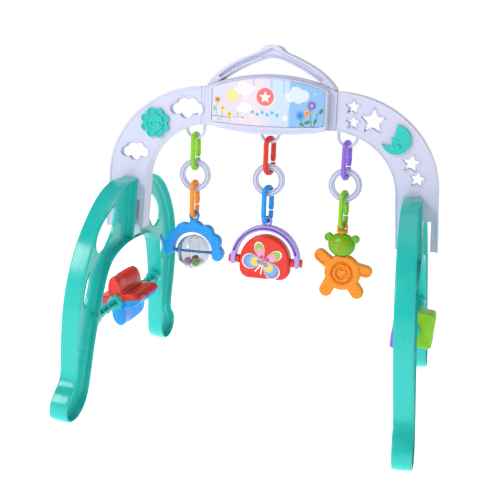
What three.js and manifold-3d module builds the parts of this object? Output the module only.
// Activity play gym for a baby: two A-shaped leg frames carry an arch with a carry handle,
// three chains of links with hanging toys, and a turning toy on a cross bar in each leg frame.
// Millimetres, +Z up. The origin is on the floor, under the middle of the gym's bounding box.
// X runs along the arch, and the front of the gym faces -Y.

import * as THREE from 'three';
import { mergeVertices } from 'three/addons/utils/BufferGeometryUtils.js';
import Module from 'manifold-3d';

const wasm = await Module();
wasm.setup();

// ---------------------------------------------------------------- driving dimensions

const GAP = 0.3; // between pieces that touch

const legFootX = 228.8; // middle of a leg frame at the floor
const legTopX = 207.4; // middle of a leg frame at its top
const legHeight = 315.5;
const legRimWidth = 25.4;
const rimThickness = 3.2;
const webThickness = 3;
const footTrim = 0.85; // how deep the round foot is cut flat where it meets the floor

const archDepth = 27.2;
const archWall = 2.6;
const archSeamX = 95; // where an arch half meets the housing
const archTopZ = 451;
const archUndersideZ = 397.3;
const archSpringZ = 313; // where the curved part of the arch ends
const archFootZ = 238;
const archOuterX = 241.5;
const archInnerX = 182.3;
const archOuterCentreX = 92; // middles of the quarter ellipses of its two edges
const archInnerCentreX = 86;
const footSlotTopZ = 280;
const tongueHalfWidth = 11.4;

const housingRise = 20; // how far the housing's arched top rises above the arch beside it
const handleTopZ = 511;

const pocketFloorZ = 224.2; // top of the inner arch of a leg frame
const pocketWall = 3.2;
const pocketMiddleZ = 232; // where the arch's tongue is centred on the leg frame
const bossFaceY = 117; // the inside faces of the bosses that hold a cross bar
const bossRadius = 12;
const barPlugRadius = 8;

const bezelHalfWidth = 84.5;
const bezelFrontY = -30;
const bezelCurveRadius = 1000;
const shellWall = 2.6;

const chainSpacing = 111;
const hangerRadius = 13.1;
const hangerStrand = 2.2; // half the thickness of a hanger loop's strand
const chainTwists = [-5, -20, -14]; // how far each chain's links are turned about the vertical, degrees
const linkLength = 57.4;
const linkWidth = 27;
const linkStrand = 3.5; // half the thickness of a link's strand
const linkStrandSide = 3.2;
const upperLinkTopZ = 385.8;
const ringCentreZ = 321.4;
const ringOuterRadius = 24;
const ringInnerRadius = 15;
const ringThickness = 7;
const lowerLinkTopZ = 315;
const toyLoopZ = 260.8;
const toyLoopRadius = 8.2;
const toyLoopHole = 5;
const toyLoopThickness = 5;

const ballCentreZ = 206;
const ballRadius = 25.6;
const ballWall = 1.6;
const beadRadius = 5.9;

const bearHeadTurn = -9; // degrees, at rest
const bearHeadZ = 235.2;

const bailPivotZ = 201.5;
const bailOuterRadius = 52; // half its width
const bailInnerRadius = 44.4;
const bailOuterRise = 53.5; // its top above the pivot
const bailInnerRise = 45.6;

const barZ = 125;
const rollerTipRadius = 39.3;
const rollerValleyRadius = 16.3;
const rollerTilt = 10; // degrees, at rest
const boxHalfWidth = 30;
const boxTilt = -5;
const journalRadius = 7.6;
const spinnerBore = 8;

const degrees = Math.PI / 180;
const legLean = Math.atan((legFootX - legTopX) / legHeight);
const barAlongLeg = (barZ + footTrim) / Math.cos(legLean); // the bar's place in a leg frame's own axes
const barX = legFootX - barAlongLeg * Math.sin(legLean);

// ---------------------------------------------------------------- colours

const TEAL = 0x3cc8b9;
const LILAC = 0xdad6f0;
const BLUE = 0x0a9cf0;
const GREEN = 0x92d418;
const ORANGE = 0xff9e10;
const RED = 0xec3524;
const PURPLE = 0xa184e2;
const PINK = 0xf070c8;
const WHITE = 0xf4f4f6;
const CLEAR = 0xdfe6ea;
const STEEL = 0x9a9ca0;
const LABEL = 0xcfe2f6;

// ---------------------------------------------------------------- solids

function toSolid(geometry) {
  const bare = geometry.clone();
  bare.deleteAttribute('normal');
  bare.deleteAttribute('uv');
  const merged = mergeVertices(bare, 1e-4);
  const index = merged.index.array;
  const triangles = [];
  for (let i = 0; i < index.length; i += 3) {
    const [a, b, c] = [index[i], index[i + 1], index[i + 2]];
    if (a !== b && b !== c && c !== a) triangles.push(a, b, c);
  }
  const vertProperties = new Float32Array(merged.attributes.position.array);
  const triVerts = new Uint32Array(triangles);
  return new wasm.Manifold(new wasm.Mesh({ numProp: 3, vertProperties, triVerts }));
}

function toGeometry(solid) {
  const mesh = solid.getMesh();
  const geometry = new THREE.BufferGeometry();
  geometry.setAttribute('position', new THREE.BufferAttribute(mesh.vertProperties, 3));
  geometry.setIndex(new THREE.BufferAttribute(mesh.triVerts, 1));
  geometry.computeVertexNormals();
  return geometry;
}

function join(...solids) {
  return solids.reduce((whole, solid) => whole.add(solid));
}

function cut(base, ...tools) {
  return tools.reduce((rest, tool) => rest.subtract(tool), base);
}

function moved(geometry, x, y, z) {
  geometry.translate(x, y, z);
  return toSolid(geometry);
}

function box(width, depth, height, x, y, z) {
  return moved(new THREE.BoxGeometry(width, depth, height), x, y, z);
}

// A cylinder along X, Y or Z between two places on that axis
function rod(axis, radius, from, to, across, sides = 16) {
  const geometry = new THREE.CylinderGeometry(radius, radius, to - from, sides);
  const middle = (from + to) / 2;
  if (axis === 'x') {
    geometry.rotateZ(Math.PI / 2);
    return moved(geometry, middle, across[0], across[1]);
  }
  if (axis === 'z') {
    geometry.rotateX(Math.PI / 2);
    return moved(geometry, across[0], across[1], middle);
  }
  return moved(geometry, across[0], middle, across[1]);
}

// ---------------------------------------------------------------- outlines

function outline(points) {
  return new THREE.Shape(points.map(([u, v]) => new THREE.Vector2(u, v)));
}

function smooth(points, divisions) {
  const curve = new THREE.SplineCurve(points.map(([u, v]) => new THREE.Vector2(u, v)));
  return curve.getPoints(divisions).map((p) => [p.x, p.y]);
}

// Points on an ellipse from one angle to another, both in degrees
function arc(u, v, radiusU, radiusV, from, to, steps) {
  const points = [];
  for (let i = 0; i <= steps; i += 1) {
    const angle = (from + (to - from) * i / steps) * degrees;
    points.push([u + radiusU * Math.cos(angle), v + radiusV * Math.sin(angle)]);
  }
  return points;
}

function circle(u, v, radius, sides = 16) {
  return arc(u, v, radius, radius, 0, 360 - 360 / sides, sides - 1);
}

function turned(points, angle, u = 0, v = 0) {
  const c = Math.cos(angle * degrees);
  const s = Math.sin(angle * degrees);
  return points.map(([a, b]) => [u + a * c - b * s, v + a * s + b * c]);
}

function roundedRectangle(halfWidth, bottom, top, radius, steps = 4) {
  const side = halfWidth - radius;
  return [
    ...arc(side, bottom + radius, radius, radius, -90, 0, steps),
    ...arc(side, top - radius, radius, radius, 0, 90, steps),
    ...arc(-side, top - radius, radius, radius, 90, 180, steps),
    ...arc(-side, bottom + radius, radius, radius, 180, 270, steps),
  ];
}

// A closed counter-clockwise outline with every side moved inwards
function inset(points, distance) {
  return points.map(([u, v], i) => {
    const [pu, pv] = points[(i + points.length - 1) % points.length];
    const [nu, nv] = points[(i + 1) % points.length];
    const before = new THREE.Vector2(pv - v, u - pu).normalize();
    const after = new THREE.Vector2(v - nv, nu - u).normalize();
    const middle = before.clone().add(after).normalize();
    const reach = distance / Math.max(middle.dot(after), 0.5);
    return [u + middle.x * reach, v + middle.y * reach];
  });
}

// Outline in X and Z, extruded along Y
function alongY(points, from, to) {
  const geometry = new THREE.ExtrudeGeometry(outline(points), { depth: to - from, bevelEnabled: false });
  geometry.rotateX(Math.PI / 2);
  return moved(geometry, 0, to, 0);
}

// Outline in Y and Z, extruded along X
function alongX(points, from, to) {
  const geometry = new THREE.ExtrudeGeometry(outline(points), { depth: to - from, bevelEnabled: false });
  geometry.applyMatrix4(new THREE.Matrix4().set(0, 0, 1, 0, 1, 0, 0, 0, 0, 1, 0, 0, 0, 0, 0, 1));
  return moved(geometry, from, 0, 0);
}

// Outline in X and Y, extruded along Z
function alongZ(points, from, to) {
  const geometry = new THREE.ExtrudeGeometry(outline(points), { depth: to - from, bevelEnabled: false });
  return moved(geometry, 0, 0, from);
}

// A closed profile of radius and height, turned about the Y axis through (x, z)
function turnedAboutY(profile, x, z, segments) {
  const geometry = new THREE.LatheGeometry(profile.map(([r, h]) => new THREE.Vector2(r, h)), segments);
  return moved(geometry, x, 0, z);
}

// ---------------------------------------------------------------- named pieces

function piece(name, solid, color, roughness = 0.35, metalness = 0) {
  const mesh = new THREE.Mesh(
    toGeometry(solid),
    new THREE.MeshStandardMaterial({ color, roughness, metalness }),
  );
  mesh.name = name;
  return mesh;
}

function group(x, y, z, ...meshes) {
  const result = new THREE.Group();
  result.position.set(x, y, z);
  result.add(...meshes);
  return result;
}

// ---------------------------------------------------------------- leg frames

// One half of the frame seen from the side, from the apex down the outer edge, round the foot
// and up the inner edge to the crown of the inner arch.
const legHalfEdge = [
  [0, legHeight], [45, 315], [66, 312], [88, 305], [109, 294], [130, 278], [149, 259.5], [166, 239],
  [180, 214], [190, 187], [196, 155], [196.5, 120], [194, 84], [193.5, 65], [199, 53], [210.5, 43],
  [219, 31], [220, 17], [211, 5.5], [196, 0], [180, 1], [163, 9.5], [151.5, 24], [146, 43], [142, 64],
  [135.5, 98], [126, 134], [114.5, 168], [104, 190], [90, 204], [68, 213], [38, 219], [0, 221],
];

// Two leaf-shaped holes in each half of the web
const leafHoles = [
  [[123, 223], [129, 238], [119, 254.5], [96, 270], [67, 279.5], [70, 249], [84, 231], [103, 218.5]],
  [[142, 198], [140, 180], [145, 161], [155, 150], [158.5, 168], [152.5, 188]],
];

function legOutline() {
  const half = smooth(legHalfEdge, 36);
  const other = half.slice(1, -1).map(([y, z]) => [-y, z]).reverse();
  return [...half, ...other].reverse();
}

function legFrameSolid() {
  const edge = legOutline();
  const half = legRimWidth / 2;
  const pocketHalf = archDepth / 2 + GAP;
  const pocketHeight = legHeight + 10 - pocketFloorZ;
  const frame = alongX(edge, -half, half);
  const walls = box(legRimWidth + 4, 2 * (pocketHalf + pocketWall), 400, 0, 0, 200);
  const atBar = [0, barAlongLeg];
  const bosses = [
    rod('y', bossRadius, bossFaceY, bossFaceY + 17, atBar, 14),
    rod('y', bossRadius, -bossFaceY - 17, -bossFaceY, atBar, 14),
  ];
  const socketRadius = barPlugRadius + GAP;
  const sockets = [
    rod('y', socketRadius, bossFaceY - 7, bossFaceY + 13, atBar),
    rod('y', socketRadius, -bossFaceY - 13, 7 - bossFaceY, atBar),
  ];
  const recess = cut(alongX(inset(edge, rimThickness), webThickness / 2, half + 1), walls, ...bosses);
  const otherRecess = cut(alongX(inset(edge, rimThickness), -half - 1, -webThickness / 2), walls, ...bosses);
  const pocket = box(legRimWidth + 4, 2 * pocketHalf, pocketHeight, 0, 0, pocketFloorZ + pocketHeight / 2);
  const leaves = leafHoles.flatMap((leaf) => [
    alongX(smooth([...leaf, leaf[0]], 14).slice(1), -half, half),
    alongX(smooth([...leaf, leaf[0]], 14).slice(1).map(([y, z]) => [-y, z]).reverse(), -half, half),
  ]);
  const shell = cut(join(frame, ...bosses), recess, otherRecess, pocket, ...leaves, ...sockets);
  // The frame leans, so the floor is a tilted plane in the frame's own axes.
  const floor = new THREE.BoxGeometry(100, 600, 40);
  floor.translate(0, 0, -20);
  floor.rotateY(legLean);
  floor.translate(0, 0, footTrim);
  return cut(shell, toSolid(floor));
}

function legFrame(name, side) {
  const mesh = piece(name, legFrameSolid(), TEAL, 0.32);
  mesh.position.set(side * legFootX, 0, -footTrim);
  mesh.rotation.y = -side * legLean;
  if (side < 0) mesh.geometry.rotateZ(Math.PI);
  return mesh;
}

// ---------------------------------------------------------------- arch

const archLean = (legFootX - legTopX) / legHeight;

function archOuterEdge() {
  const width = archOuterX - archOuterCentreX;
  return arc(archOuterCentreX, archSpringZ, width, archTopZ - archSpringZ, 90, 0, 12);
}

function archInnerEdge() {
  const width = archInnerX - archInnerCentreX;
  return arc(archInnerCentreX, archSpringZ - 3, width, archUndersideZ - archSpringZ + 3, 0, 90, 10);
}

// The forked foot: an outer prong, a slot, the tongue that fills the leg's pocket, a narrow slot
// and an inner prong.
function archFootEdge() {
  const outer = archOuterX + archLean * (archSpringZ - archFootZ);
  const inner = archInnerX + archLean * (archSpringZ - archFootZ);
  const tongueMiddle = legFootX - archLean * pocketMiddleZ;
  const tongueOuter = tongueMiddle + tongueHalfWidth;
  const tongueInner = tongueMiddle - tongueHalfWidth;
  return [
    [outer, archFootZ], [outer - 11, archFootZ], [outer - 12.5, footSlotTopZ],
    [tongueOuter - 2, footSlotTopZ], [tongueOuter, pocketFloorZ + GAP],
    [tongueInner, pocketFloorZ + GAP], [tongueInner - 3, footSlotTopZ],
    [inner + 5.5, footSlotTopZ], [inner + 8, archFootZ], [inner, archFootZ],
  ];
}

function archOutline(side) {
  const start = archSeamX + GAP;
  const points = [
    [start, archTopZ], ...archOuterEdge().slice(1), ...archFootEdge(), ...archInnerEdge().slice(0, -1),
    [start, archUndersideZ],
  ];
  return side > 0 ? points : points.map(([x, z]) => [-x, z]);
}

// The moulding is open at the back, behind its curved part.
function archRecess(side) {
  const outerWidth = archOuterX - archOuterCentreX - archWall;
  const outerRise = archTopZ - archSpringZ - archWall;
  const innerWidth = archInnerX - archInnerCentreX + archWall;
  const innerRise = archUndersideZ - archSpringZ + 3 + archWall;
  const outer = arc(archOuterCentreX, archSpringZ, outerWidth, outerRise, 88, -10, 14);
  const inner = arc(archInnerCentreX, archSpringZ - 3, innerWidth, innerRise, -10, 86, 12);
  const band = [...outer, ...inner].filter(([x]) => x > archSeamX + archWall);
  return alongY(side > 0 ? band : band.map(([x, z]) => [-x, z]), -archDepth / 2 + archWall + 0.4, archDepth);
}

function starHole(x, z, radius, angle) {
  const points = [];
  for (let i = 0; i < 10; i += 1) {
    const reach = i % 2 === 0 ? radius : radius * 0.48;
    points.push([reach * Math.sin(i * 36 * degrees), reach * Math.cos(i * 36 * degrees)]);
  }
  return alongY(turned(points, angle, x, z), -archDepth, archDepth);
}

function cloudHole(x, z, scale) {
  const puffs = [[-15, -1, 8], [-6, 5, 9], [6, 5, 9.5], [15, -1, 8], [0, -5, 9]];
  return join(...puffs.map(([u, v, r]) => (
    alongY(circle(x + u * scale, z + v * scale, r * scale, 12), -archDepth, archDepth)
  )));
}

const sunPlace = [-169, 396];
const moonPlace = [178.6, 390.3];

// X, Z and scale of each cloud; X, Z, radius and turn of each star
const cloudPlaces = [[-121.5, 418.5, 1], [-200.5, 352, 0.87]];
const starPlaces = [
  [116.5, 431, 9.2, -2], [117.5, 410, 8.6, -2], [145.5, 413, 16.4, -2], [201, 358.5, 11.6, -6],
  [211, 337, 9.6, -6],
];

// The holes in the arch's underside that a hanger loop's two ends go into
function loopHoles(x) {
  return [-1, 1].map((side) => rod('z', hangerStrand + 0.5, 380, 404, [x + side * hangerRadius, 0], 8));
}

function arch(name, side) {
  const body = cut(alongY(archOutline(side), -archDepth / 2, archDepth / 2), archRecess(side));
  const clouds = cloudPlaces.map((cloud) => cloudHole(...cloud));
  const stars = starPlaces.map((star) => starHole(...star));
  const [badgeX, badgeZ] = side < 0 ? sunPlace : moonPlace;
  const badgeHole = rod('y', 3, -archDepth, 0, [badgeX + (side > 0 ? 7 : 0), badgeZ], 12);
  const openings = side < 0 ? clouds : stars;
  return piece(name, cut(body, ...openings, badgeHole, ...loopHoles(side * chainSpacing)), LILAC, 0.4);
}

// ---------------------------------------------------------------- badges on the arch

const badgeBack = -archDepth / 2 - GAP;

function badgePost(x, z) {
  return rod('y', 2.7, badgeBack - 1, badgeBack + 6, [x, z], 12);
}

function sunBadge() {
  const [x, z] = sunPlace;
  const disc = rod('y', 13.4, badgeBack - 4, badgeBack, [x, z], 16);
  const petals = Array.from({ length: 8 }, (_, i) => {
    const angle = (i * 45 + 22.5) * degrees;
    return rod('y', 5.6, badgeBack - 2.8, badgeBack, [x + 16 * Math.cos(angle), z + 16 * Math.sin(angle)], 8);
  });
  return piece('sun_badge', join(disc, ...petals, badgePost(x, z)), TEAL, 0.38);
}

function moonBadge() {
  const [x, z] = moonPlace;
  const full = rod('y', 20.4, badgeBack - 3.4, badgeBack, [x, z], 26);
  const bite = rod('y', 19, badgeBack - 5, badgeBack + 1, [x - 13.4, z + 8.4], 22);
  const crescent = cut(full, bite);
  return piece('moon_badge', join(crescent, badgePost(x + 7, z)), TEAL, 0.38);
}

// ---------------------------------------------------------------- housing

// Top and bottom edges of the housing, each one arc from side to side
function housingOutline(half, sideTop, sideBottom, riseTop, riseBottom) {
  const top = Array.from({ length: 13 }, (_, i) => {
    const x = half - i * half / 6;
    return [x, sideTop + riseTop * (1 - (x / half) ** 2)];
  });
  const bottom = Array.from({ length: 9 }, (_, i) => {
    const x = -half + i * half / 4;
    return [x, sideBottom - riseBottom * (1 - (x / half) ** 2)];
  });
  return [...top, ...bottom];
}

function housingTop(x) {
  return archTopZ + housingRise * (1 - (x / archSeamX) ** 2);
}

const screwPlaces = [[-70, 410], [70, 410], [-70, 446], [70, 446]];
const bezelBackY = -archDepth / 2 - GAP;

function housingRear() {
  const edge = housingOutline(archSeamX, archTopZ, archUndersideZ, housingRise, 2);
  const body = alongY(edge, -archDepth / 2, archDepth / 2);
  const hollow = alongY(inset(edge, shellWall), -archDepth, archDepth / 2 - shellWall);
  const screwHoles = screwPlaces.map((place) => rod('y', 1.9, 5, 20, place, 8));
  return piece('housing_rear_shell', cut(body, hollow, ...screwHoles, ...loopHoles(0)), LILAC, 0.4);
}

// A slab whose front follows the gentle curve of the housing's face
function curvedSlab(frontY, backY) {
  const steps = 10;
  const reach = bezelHalfWidth + 10;
  const front = Array.from({ length: steps + 1 }, (_, i) => {
    const x = -reach + 2 * reach * i / steps;
    return [x, frontY + bezelCurveRadius - Math.sqrt(bezelCurveRadius ** 2 - x ** 2)];
  });
  return alongZ([...front, [reach, backY], [-reach, backY]], 300, 520);
}

function housingBezel() {
  const edge = housingOutline(bezelHalfWidth, 453, 397, 15, 8.4);
  const body = alongY(edge, bezelFrontY - 10, bezelBackY).intersect(curvedSlab(bezelFrontY, bezelBackY));
  const hollow = alongY(inset(edge, shellWall), bezelFrontY - 10, 0)
    .intersect(curvedSlab(bezelFrontY + shellWall, 5));
  const bosses = screwPlaces.map((place) => rod('y', 4, bezelFrontY + 4, 9, place, 8));
  const pilots = screwPlaces.map((place) => rod('y', 1.9, bezelFrontY + 8, 12, place, 8));
  return piece('housing_bezel', cut(join(cut(body, hollow), ...bosses), ...pilots), LILAC, 0.36);
}

function panelLabel() {
  const edge = housingOutline(78.5, 450.5, 403.5, 14.5, 3);
  const front = bezelFrontY - GAP - 0.8;
  const body = alongY(edge, front - 10, 0).intersect(curvedSlab(front, 5));
  return piece('panel_label', cut(body, curvedSlab(bezelFrontY - GAP, 20)), LABEL, 0.15);
}

function housingScrew(place, number) {
  const head = rod('y', 3.4, archDepth / 2 + GAP, archDepth / 2 + GAP + 2, place, 10);
  const shank = rod('y', 1.5, -4, archDepth / 2 + GAP + 1, place, 8);
  return piece(`housing_screw_${number}`, join(head, shank), STEEL, 0.3, 0.9);
}

function carryHandle() {
  const feet = [75.5, 84, 92.5].map((x) => [x, housingTop(x) + GAP]);
  const underside = smooth([[0, 493], [8, 492.8], [20, 488.8], [38, 481.2], [56, 471.6], feet[0]], 12);
  const shoulder = [feet[2], [88, 459.5], [80, 468], [65, 479.6], [50, 488], [35, 495], [18.5, 501.8]];
  const right = [
    ...underside, ...feet.slice(1), ...smooth(shoulder, 14).slice(1),
    [13, 507], [7.5, 510], [0, handleTopZ],
  ];
  const left = right.slice(1, -1).map(([x, z]) => [-x, z]).reverse();
  return piece('carry_handle', alongY([...right, ...left], -archDepth / 2, archDepth / 2 + 1), LILAC, 0.4);
}

// ---------------------------------------------------------------- chains

// A tube of round section along a curve
function tube(curve, radiusAcross, radiusUp, steps, sides = 8) {
  const section = outline(arc(0, 0, radiusAcross, radiusUp, 0, 360 - 360 / sides, sides - 1));
  return toSolid(new THREE.ExtrudeGeometry(section, { steps, extrudePath: curve, bevelEnabled: false }));
}

function hangerLoop(name, x) {
  const radius = hangerRadius;
  const centre = 389.3;
  const points = [
    new THREE.Vector3(x - radius, 0, 401), new THREE.Vector3(x - radius, 0, 396),
    ...arc(x, centre, radius, radius, 180, 360, 8).map(([u, v]) => new THREE.Vector3(u, 0, v)),
    new THREE.Vector3(x + radius, 0, 396), new THREE.Vector3(x + radius, 0, 401),
  ];
  return piece(name, tube(new THREE.CatmullRomCurve3(points), hangerStrand, hangerStrand, 15, 7), LILAC, 0.3);
}

// An open clip link standing in the YZ plane, with the clasp gap low in its rear strand
function clipLink(name, topZ, twist, color) {
  const radius = linkWidth / 2 - linkStrand;
  const centre = topZ - linkLength / 2;
  const straight = linkLength / 2 - linkStrand - radius;
  const places = [
    [radius, -straight + 5], ...arc(0, -straight, radius, radius, 0, -180, 8),
    [-radius, 0], ...arc(0, straight, radius, radius, 180, 0, 8), [radius, -straight + 8.5],
  ];
  const points = places.map(([y, z]) => new THREE.Vector3(0, y, z));
  const curve = new THREE.CatmullRomCurve3(points, false, 'centripetal');
  const mesh = piece(name, tube(curve, linkStrandSide, linkStrand, 24, 7), color, 0.3);
  mesh.position.set(0, 0, centre);
  mesh.rotation.z = twist * degrees;
  return mesh;
}

function ring(name) {
  const half = ringThickness / 2;
  const middle = (ringInnerRadius + ringOuterRadius) / 2;
  const profile = [
    [ringInnerRadius, -half + 1.6], [ringInnerRadius + 1.6, -half], [middle + 1, -half],
    [ringOuterRadius, -half + 1.6], [ringOuterRadius, half - 1.6], [middle + 1, half],
    [ringInnerRadius + 1.6, half], [ringInnerRadius, half - 1.6], [ringInnerRadius, -half + 1.6],
  ];
  return piece(name, turnedAboutY(profile, 0, ringCentreZ, 22), LILAC, 0.3);
}

function toyLoop() {
  const half = toyLoopThickness / 2;
  const profile = [
    [toyLoopHole, -half], [toyLoopRadius, -half], [toyLoopRadius, half], [toyLoopHole, half],
    [toyLoopHole, -half],
  ];
  return turnedAboutY(profile, 0, toyLoopZ, 14);
}

function chain(side, upperColor, lowerColor, ...toy) {
  const place = ['left', 'centre', 'right'][side + 1];
  const twist = chainTwists[side + 1];
  return group(
    side * chainSpacing, 0, 0,
    clipLink(`${place}_upper_link`, upperLinkTopZ, twist, upperColor),
    ring(`${place}_ring`),
    clipLink(`${place}_lower_link`, lowerLinkTopZ, twist, lowerColor),
    ...toy,
  );
}

// ---------------------------------------------------------------- left toy: rattle ball

function bugFrame() {
  const steps = 35;
  const bumpSpan = 29.3; // degrees from one notch to the next
  const bumps = Array.from({ length: steps + 1 }, (_, i) => {
    const angle = -2 + i * 184 / steps;
    const reach = 42.9 + 4.4 * Math.abs(Math.sin((angle - 13.6) / bumpSpan * Math.PI));
    return [reach * Math.cos(angle * degrees), ballCentreZ + reach * Math.sin(angle * degrees)];
  });
  const inside = arc(0, ballCentreZ, 30, 30, 182, -2, 14);
  const body = alongY([...bumps, ...inside], -7, 7);
  const head = rod('y', 9, -7, 7, [-38.5, ballCentreZ + 2.5], 14);
  const tail = rod('y', 8.5, -7, 7, [38, ballCentreZ - 3], 12);
  const neck = alongY([[-13, 245], [13, 245], [5, 255.2], [-5, 255.2]], -6, 6);
  const feelers = [[-50.5, 222], [-41, 224.5]].map(([x, z]) => (
    alongY(turned(roundedRectangle(1.8, -12.5, 4, 1.7, 2), x < -45 ? 28 : -10, x, z), -2.5, 2.5)
  ));
  const clearance = rod('y', 28.2, -8, 8, [0, ballCentreZ], 24);
  const axleHoles = rod('x', 2.1, -36, 36, [0, ballCentreZ], 8);
  const whole = join(body, head, tail, neck, ...feelers, toyLoop());
  return piece('bug_frame', cut(whole, clearance, axleHoles), BLUE, 0.3);
}

// Half of the clear ball: a shell turned about the X axis, with a hole for the axle at its pole
function ballHalf(name, side) {
  const inner = ballRadius - ballWall;
  const angles = [0.4, 17, 34, 51, 68, 85.4];
  const shell = angles.map((a) => [ballRadius * Math.cos(a * degrees), ballRadius * Math.sin(a * degrees)]);
  const inside = angles.map((a) => [inner * Math.cos(a * degrees), inner * Math.sin(a * degrees)]).reverse();
  const profile = [...shell, ...inside, shell[0]];
  const geometry = new THREE.LatheGeometry(profile.map(([r, h]) => new THREE.Vector2(r, h)), 16);
  geometry.rotateZ(-side * Math.PI / 2);
  return piece(name, moved(geometry, 0, 0, ballCentreZ), CLEAR, 0.05);
}

function bead(name, place, color) {
  const across = 10.3;
  const drop = Math.sqrt((ballRadius - ballWall - GAP - beadRadius) ** 2 - across ** 2) - 0.3;
  const angle = (place * 72 - 126) * degrees;
  const [x, y, z] = [across * Math.cos(angle), across * Math.sin(angle), ballCentreZ - drop];
  const round = new THREE.SphereGeometry(beadRadius, 10, 6);
  const block = new THREE.BoxGeometry(7, 7, 7);
  block.rotateX(0.4);
  block.rotateZ(0.5 + place);
  return piece(name, moved(color === WHITE ? block : round, x, y, z), color, 0.3);
}

function rattleToy() {
  return [
    bugFrame(),
    ballHalf('ball_left_half', -1),
    ballHalf('ball_right_half', 1),
    piece('ball_axle', rod('x', 1.8, -35, 35, [0, ballCentreZ], 8), BLUE, 0.3),
    bead('pink_bead', 0, PINK),
    bead('green_bead', 1, GREEN),
    bead('white_cube_right', 2, WHITE),
    bead('red_bead', 3, RED),
    bead('white_cube_left', 4, WHITE),
  ];
}

// ---------------------------------------------------------------- centre toy: butterfly spinner

function bail() {
  const bailEndZ = bailPivotZ - 7;
  const band = [
    ...arc(0, bailPivotZ, bailOuterRadius, bailOuterRise, 0, 180, 18),
    [1 - bailOuterRadius, bailEndZ], [-1 - bailInnerRadius, bailEndZ],
    ...arc(0, bailPivotZ, bailInnerRadius, bailInnerRise, 180, 0, 18),
    [bailInnerRadius + 1, bailEndZ], [bailOuterRadius - 1, bailEndZ],
  ];
  const bores = rod('x', 4.4, -70, 70, [0, bailPivotZ], 12);
  return piece('bail', cut(join(alongY(band, -8, 8), toyLoop()), bores), PURPLE, 0.32);
}

// A dome on a flat bottom with round corners
function spinnerOutline() {
  const corner = 15;
  const half = 37.8;
  const bottom = -26.2;
  const points = [
    ...arc(half - corner, bottom + corner, corner, corner, -90, 0, 4),
    ...arc(0, 0, half, half + 1.6, 3, 177, 14),
    ...arc(corner - half, bottom + corner, corner, corner, 180, 270, 4),
  ];
  return points.map(([x, z]) => [x, bailPivotZ + z]);
}

function spinnerShell(name, side) {
  const edge = spinnerOutline();
  const thickness = 10;
  const span = (from, to) => (side < 0 ? [-to, -from] : [from, to]);
  const body = alongY(edge, ...span(GAP / 2, thickness));
  const hollow = alongY(inset(edge, 2.2), ...span(-1, thickness - 2.2));
  const pinHole = rod('x', 4.4, -60, 60, [0, bailPivotZ], 12);
  return piece(name, cut(body, hollow, pinHole), RED, 0.3);
}

function spinnerPin(name, side) {
  const span = (from, to) => (side < 0 ? [-to, -from] : [from, to]);
  const pin = rod('x', 4, ...span(31.5, 54), [0, bailPivotZ], 12);
  const cap = rod('x', 6.4, ...span(bailOuterRadius + GAP, bailOuterRadius + 3.4), [0, bailPivotZ], 12);
  const collar = rod('x', 6.4, ...span(38.4, bailInnerRadius - 3 * GAP), [0, bailPivotZ], 12);
  const flange = rod('x', 6.4, ...span(31, 34.5), [0, bailPivotZ], 12);
  return piece(name, join(pin, cap, collar, flange), RED, 0.3);
}

function butterflyLabel() {
  const heading = 68; // degrees, the way the butterfly's head points
  // How far each oval's middle lies from the butterfly's, its two radii and its direction
  const ovals = [
    [14.5, 14.5, 9, heading + 39], [14.5, 14.5, 9, heading - 39],
    [12, 12, 8.5, heading + 112], [12, 12, 8.5, heading - 112], [0, 11, 3, heading],
  ];
  const solids = ovals.map(([away, long, wide, angle]) => (
    alongY(turned(arc(away, 0, long, wide, 0, 330, 11), angle, -1.5, bailPivotZ), -10.8, -10.3)
  ));
  return piece('butterfly_label', join(...solids), LABEL, 0.2);
}

function spinnerToy() {
  return [
    bail(),
    spinnerShell('spinner_front_shell', -1),
    spinnerShell('spinner_rear_shell', 1),
    spinnerPin('spinner_left_pin', -1),
    spinnerPin('spinner_right_pin', 1),
    butterflyLabel(),
  ];
}

// ---------------------------------------------------------------- right toy: bear

function limb(fromX, fromZ, toX, toZ, radius) {
  const angle = Math.atan2(toZ - fromZ, toX - fromX) / degrees;
  const length = Math.hypot(toX - fromX, toZ - fromZ);
  const points = [
    ...arc(length, 0, radius, radius, -90, 90, 5), ...arc(0, 0, radius, radius, 90, 270, 5),
  ];
  return alongY(turned(points, angle, fromX, fromZ), -6.5, 6.5);
}

function bearBody() {
  const belly = rod('y', 25, -7, 7, [3.8, 195.2], 24);
  const limbs = [
    limb(-13, 205, -29.7, 218.4, 7.6), limb(18, 203, 38, 199, 7.2),
    limb(-12, 182, -19.2, 166.8, 8.8), limb(17, 180, 26.2, 166.5, 8.6),
  ];
  const clearance = new THREE.SphereGeometry(1, 20, 12);
  clearance.rotateX(Math.PI / 2);
  clearance.scale(21.4, 21.4, 18.4);
  const post = rod('z', 5, 212, 255, [0, 0], 12);
  const collar = rod('z', 8.2, 253.1, 256.4, [0, 0], 12);
  const lower = cut(join(belly, ...limbs), moved(clearance, 0, 0, bearHeadZ));
  return piece('bear_body', join(lower, post, collar, toyLoop()), ORANGE, 0.35);
}

function bearHeadHalf(name, side) {
  const skull = new THREE.SphereGeometry(1, 16, 10);
  skull.scale(20.2, 14, 17.4);
  const ears = [-19.6, 19.6].map((x) => rod('y', 6.2, -4, 4, [x, 245], 10));
  const whole = join(moved(skull, 0, 0, bearHeadZ), ...ears);
  const hollow = new THREE.SphereGeometry(1, 10, 6);
  hollow.scale(17, 11.4, 14.6);
  const bore = rod('z', 5.4, 200, 260, [0, 0], 12);
  const otherHalf = box(100, 50, 100, 0, side * (GAP / 2 - 25), 235);
  const mesh = piece(name, cut(whole, moved(hollow, 0, 0, bearHeadZ), bore, otherHalf), GREEN, 0.3);
  mesh.rotation.z = bearHeadTurn * degrees;
  return mesh;
}

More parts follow.
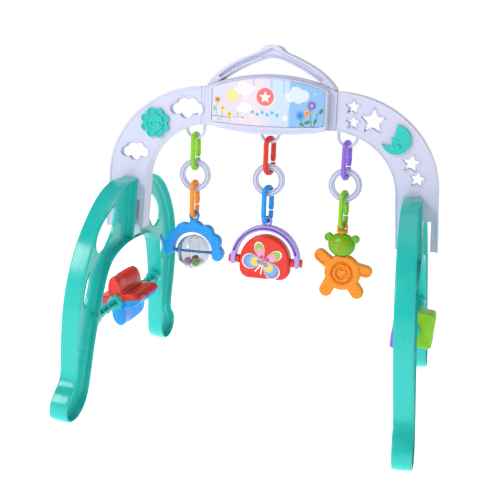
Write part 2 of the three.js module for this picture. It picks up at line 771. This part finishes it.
function bearToy() {
  return [bearBody(), bearHeadHalf('bear_head_front', -1), bearHeadHalf('bear_head_rear', 1)];
}

// ---------------------------------------------------------------- cross bars and their turning toys

function crossBar(name, journalFrom, journalTo, toothed) {
  const blades = [box(14, 228, 3, 0, 0, 0), box(3, 228, 14, 0, 0, 0)];
  const plugs = [
    rod('y', barPlugRadius, -129.6, -113, [0, 0], 12),
    rod('y', barPlugRadius, 113, 129.6, [0, 0], 12),
  ];
  const journal = rod('y', journalRadius, journalFrom, journalTo, [0, 0], 16);
  const collars = [
    rod('y', 11, journalFrom - 9, journalFrom - GAP, [0, 0], 14),
    rod('y', 11, journalTo + GAP, journalTo + 4, [0, 0], 14),
  ];
  const teeth = toothed ? Array.from({ length: 8 }, (_, i) => {
    const angle = i * 45 * degrees;
    return box(3.4, 2.4, 3.4, 10.4 * Math.cos(angle), journalFrom - 1.6, 10.4 * Math.sin(angle));
  }) : [];
  const bar = join(...blades, ...plugs, journal, ...collars, ...teeth);
  return piece(name, bar, TEAL, 0.32);
}

// Both halves of a hollow turning toy, split along a plane through the bar
function turningHalf(name, edge, from, to, splitAngle, color) {
  const wall = 2.4;
  const body = alongY(edge, from, to);
  const hollow = alongY(inset(edge, wall), from + wall, to - wall);
  const hub = rod('y', spinnerBore + 2.4, from, to, [0, 0], 14);
  const bore = rod('y', spinnerBore, from - 1, to + 1, [0, 0], 16);
  const half = new THREE.BoxGeometry(200, 300, 100);
  half.translate(0, 0, 50 + GAP / 2);
  half.rotateY(splitAngle * degrees);
  const shell = cut(join(cut(body, hollow), hub), bore);
  return piece(name, shell.intersect(toSolid(half)), color, 0.32);
}

function lobedOutline() {
  const middle = (rollerTipRadius + rollerValleyRadius) / 2;
  const swing = (rollerTipRadius - rollerValleyRadius) / 2;
  const points = Array.from({ length: 40 }, (_, i) => {
    const angle = i * 9 * degrees;
    const reach = middle + swing * Math.cos(4 * angle);
    return [reach * Math.cos(angle), reach * Math.sin(angle)];
  });
  return turned(points, rollerTilt);
}

// The green half of the box is a little wider and lower than the purple half.
function boxOutline(half, halfHeight) {
  return turned(roundedRectangle(half, -halfHeight, halfHeight, 5), boxTilt);
}

function reachOf(points) {
  return Math.max(...points.map(([x]) => Math.abs(x)));
}

function leftRoller() {
  const [from, to] = [-37, 47];
  return group(
    -barX, 0, barZ,
    crossBar('left_cross_bar', from, to, true),
    turningHalf('roller_red_half', lobedOutline(), from + 0.6, to - 0.6, -rollerTilt, RED),
    turningHalf('roller_blue_half', lobedOutline(), from + 0.6, to - 0.6, 180 - rollerTilt, BLUE),
  );
}

function rightSpinner() {
  return group(
    barX, 0, barZ,
    crossBar('right_cross_bar', -15.6, 15.6, false),
    turningHalf('box_green_half', boxOutline(boxHalfWidth, 25.6), -15, 15, 90 - boxTilt, GREEN),
    turningHalf('box_purple_half', boxOutline(boxHalfWidth - 2, 34), -15, 15, -90 - boxTilt, PURPLE),
  );
}

// ---------------------------------------------------------------- the whole gym

// The roller reaches further out than the box, so the gym stands a little to the side of the
// middle of its bounding box.
const centring = (reachOf(lobedOutline()) - reachOf(boxOutline(boxHalfWidth, 25.6))) / 2;

const gym = group(
  centring, 0, 0,
  legFrame('left_leg_frame', -1),
  legFrame('right_leg_frame', 1),
  arch('left_arch', -1),
  arch('right_arch', 1),
  sunBadge(),
  moonBadge(),
  housingRear(),
  housingBezel(),
  panelLabel(),
  ...screwPlaces.map((place, i) => housingScrew(place, i + 1)),
  carryHandle(),
  hangerLoop('left_hanger_loop', -chainSpacing),
  hangerLoop('centre_hanger_loop', 0),
  hangerLoop('right_hanger_loop', chainSpacing),
  chain(-1, GREEN, ORANGE, ...rattleToy()),
  chain(0, RED, BLUE, ...spinnerToy()),
  chain(1, PURPLE, GREEN, ...bearToy()),
  leftRoller(),
  rightSpinner(),
);

export default gym;
